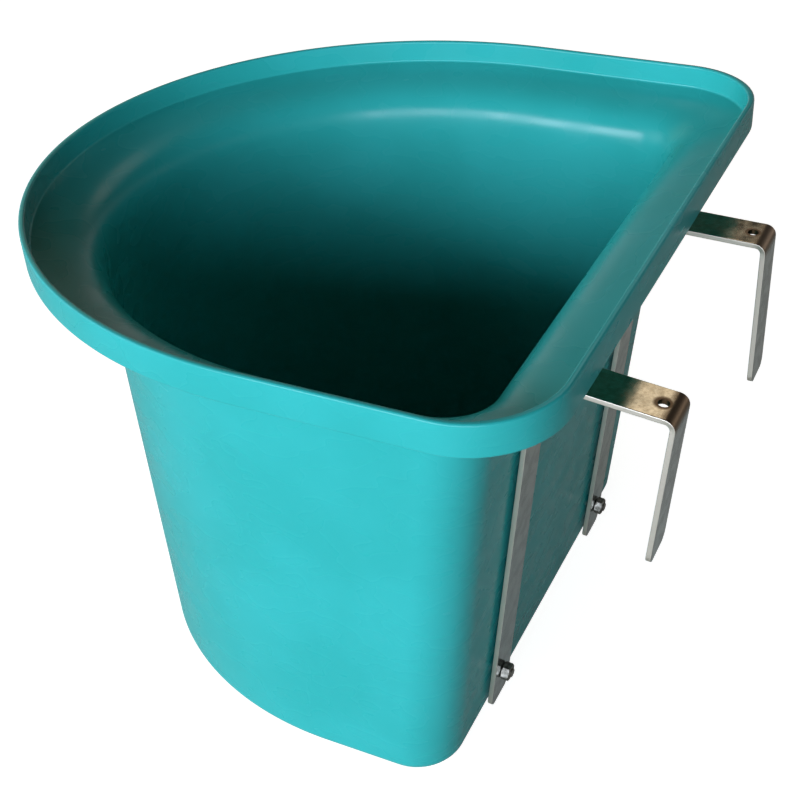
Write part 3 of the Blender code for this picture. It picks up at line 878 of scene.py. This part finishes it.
def lightPathShare(tree):
    # 1 for camera, mirror and glass rays, 0 for the rays that carry light
    paths = addNode(tree, "ShaderNodeLightPath")
    direct = addNode(tree, "ShaderNodeMath", {"operation": "MAXIMUM"},
                     {0: (paths, "Is Camera Ray"), 1: (paths, "Is Glossy Ray")})
    seen = addNode(tree, "ShaderNodeMath", {"operation": "MAXIMUM"},
                   {0: (direct, 0), 1: (paths, "Is Transmission Ray")})
    return paths, seen


def buildWorld():
    world = bpy.data.worlds.new("studio")
    bpy.context.scene.world = world
    tree = newTree(world)
    paths, seen = lightPathShare(tree)
    sky = addNode(tree, "ShaderNodeTexCoord")
    direction = addNode(tree, "ShaderNodeSeparateXYZ", None, {"Vector": (sky, "Generated")})
    fade = addNode(tree, "ShaderNodeMapRange", {"interpolation_type": "SMOOTHSTEP"},
                   {"Value": (direction, "Z"), "From Min": studio["darkening"][0],
                    "From Max": studio["darkening"][1], "To Min": studio["background"],
                    "To Max": studio["overhead"]})
    room = addNode(tree, "ShaderNodeMix", {"data_type": "FLOAT"},
                   {0: (paths, "Is Camera Ray"), 2: (fade, 0), 3: studio["background"]})
    level = addNode(tree, "ShaderNodeMix", {"data_type": "FLOAT"},
                    {0: (seen, 0), 2: studio["ambient"], 3: (room, 0)})
    tone = addNode(tree, "ShaderNodeMix", {"data_type": "RGBA"},
                   {0: (seen, 0), 6: hexColour(studio["ambientColour"]), 7: white})
    glow = addNode(tree, "ShaderNodeBackground", None,
                   {"Strength": (level, 0), "Color": (tone, 2)})
    addNode(tree, "ShaderNodeOutputWorld", None, {"Surface": (glow, 0)})


def buildFloor():
    half = studio["floorSize"] / 2
    corners = [(-half, -half), (half, -half), (half, half), (-half, half)]
    mesh = bpy.data.meshes.new("studio_floor")
    mesh.from_pydata([(x, y, -studio["floorDrop"]) for x, y in corners], [], [(0, 1, 2, 3)])
    floor = newPiece("studio_floor", mesh)
    material = bpy.data.materials.new("matt_white_card")
    tree = newTree(material)
    paths, seen = lightPathShare(tree)
    matt = addNode(tree, "ShaderNodeBsdfDiffuse", None, {"Color": hexColour(studio["floorColour"])})
    level = addNode(tree, "ShaderNodeMix", {"data_type": "FLOAT"},
                    {0: (paths, "Is Camera Ray"), 2: studio["floorMirrored"],
                     3: studio["floorGlow"]})
    strength = addNode(tree, "ShaderNodeMath", {"operation": "MULTIPLY"},
                       {0: (seen, 0), 1: (level, 0)})
    glow = addNode(tree, "ShaderNodeEmission", None, {"Strength": (strength, 0), "Color": white})
    both = addNode(tree, "ShaderNodeAddShader", None, {0: (matt, 0), 1: (glow, 0)})
    addNode(tree, "ShaderNodeOutputMaterial", None, {"Surface": (both, 0)})
    mesh.materials.append(material)


def aimed(right, up, back, location):
    # matrix of an object at the location, whose local axes are right, up and back
    matrix = np.eye(4)
    matrix[:3] = np.stack([right, up, back, location], 1)
    return Matrix(matrix.tolist())


def buildLights():
    middle = (tubLow + tubHigh) / 2 * mm
    for name, s in studio["lights"].items():
        back = np.array(s["from"]) / np.linalg.norm(s["from"])
        right = np.cross([0, 0, 1], back)
        right = right / np.linalg.norm(right)
        light = bpy.data.lights.new(name, "AREA")
        light.shape = "RECTANGLE"
        light.size, light.size_y = s["size"]
        light.energy = s["watts"]
        light.color = hexColour(s["colour"])[:3]
        item = newObject(name, light)
        item.matrix_world = aimed(right, np.cross(back, right), back, middle + back * s["distance"])


def buildCamera():
    angles = ("azimuthDeg", "elevationDeg", "rollDeg")
    azimuth, elevation, roll = (math.radians(camera[angle]) for angle in angles)
    right = np.array([math.cos(azimuth), math.sin(azimuth), 0])
    back = np.array([math.sin(azimuth) * math.cos(elevation),
                     -math.cos(azimuth) * math.cos(elevation), math.sin(elevation)])
    up = np.cross(back, right)
    aim = np.array([tubMiddleX * mm, tubHigh[1] * mm - camera["aimFromRim"], 0])
    aim = aim + right * camera["aimRight"] + up * camera["aimUp"]
    rolledRight = math.cos(roll) * right + math.sin(roll) * up
    rolledUp = math.cos(roll) * up - math.sin(roll) * right
    lens = bpy.data.cameras.new("photo_view")
    lens.lens = camera["lens"]
    lens.sensor_width = camera["sensor"]
    item = newObject("photo_view", lens)
    item.matrix_world = aimed(rolledRight, rolledUp, back, aim + back * camera["distance"])
    bpy.context.scene.camera = item


buildWorld()
buildFloor()
buildLights()
buildCamera()
bpy.context.scene.view_settings.view_transform = "Standard"
print("studio ready")
